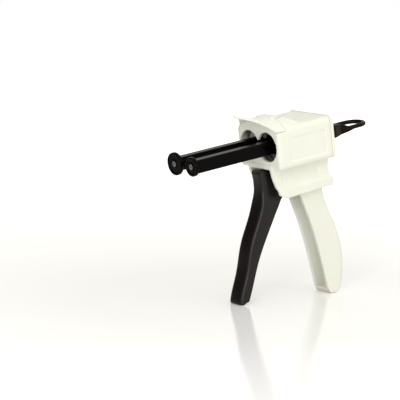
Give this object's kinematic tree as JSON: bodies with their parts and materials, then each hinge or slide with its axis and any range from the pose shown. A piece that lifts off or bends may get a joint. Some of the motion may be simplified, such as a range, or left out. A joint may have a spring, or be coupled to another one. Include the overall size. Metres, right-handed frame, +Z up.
{
  "type": "dental cartridge dispensing gun",
  "caption": "Dispensing gun with a squared housing, arched cartridge seat under a hinged lid, twin toothed plunger rods with discs, front trigger, rear handle and pull loop",
  "frame": {"origin": "centre of the footprint of the object's box, on the table it stands on", "axes": "+Z up as the tool stands on its trigger toe and handle heel, -Y the way the plunger points, +X the tool's left; the housing is symmetric about X = 0"},
  "size_m": [0.054, 0.185, 0.1525],
  "materials": {
    "ivory_plastic": "satin moulded ivory",
    "black_plastic": "semi-gloss moulded black",
    "trigger_plastic": "satin moulded black",
    "nylon": "natural nylon",
    "steel": "turned steel",
    "spring_steel": "drawn spring wire"
  },
  "bodies": {
    "housing_body": {"housing": "ivory_plastic", "rear_cover": "ivory_plastic", "cover_screws": "steel", "rod_bush_left": "nylon", "rod_bush_right": "nylon", "brake_shoe": "nylon", "brake_spring": "spring_steel", "lid_pin": "steel", "trigger_pin": "steel", "trigger_spacer": "nylon", "trigger_spring": "spring_steel"},
    "latch": {"latch_lid": "ivory_plastic"},
    "plunger": {"plunger_rod_left": "black_plastic", "plunger_rod_right": "black_plastic", "small_disc": "black_plastic", "large_disc": "black_plastic", "small_disc_screw": "steel", "large_disc_screw": "steel", "pull_loop": "black_plastic", "loop_pins": "steel"},
    "trigger_lever": {"trigger": "trigger_plastic", "pawl_pin": "steel", "pawl_spring": "spring_steel"},
    "pawl": {"drive_pawl": "steel"}
  },
  "joints": [
    {"name": "trigger_hinge", "type": "hinge", "parent": "housing_body", "child": "trigger_lever", "pos_m": [0, 0.00417, 0.09878], "axis": [1, 0, 0], "range_deg": [0, 24], "stiffness_Nm_per_rad": 0.3, "springref_deg": -34.38},
    {"name": "plunger_slide", "type": "slide", "parent": "housing_body", "child": "plunger", "axis": [0, 0.9913, 0.1318], "range_m": [0, 0.07]},
    {"name": "lid_hinge", "type": "hinge", "parent": "housing_body", "child": "latch", "pos_m": [0, 0.00896, 0.14239], "axis": [-1, 0, 0], "range_deg": [0, 70]},
    {"name": "pawl_hinge", "type": "hinge", "parent": "trigger_lever", "child": "pawl", "pos_m": [0, 0.01416, 0.11463], "axis": [1, 0, 0], "range_deg": [0, 5], "stiffness_Nm_per_rad": 0.02, "springref_deg": -17.19}
  ]
}
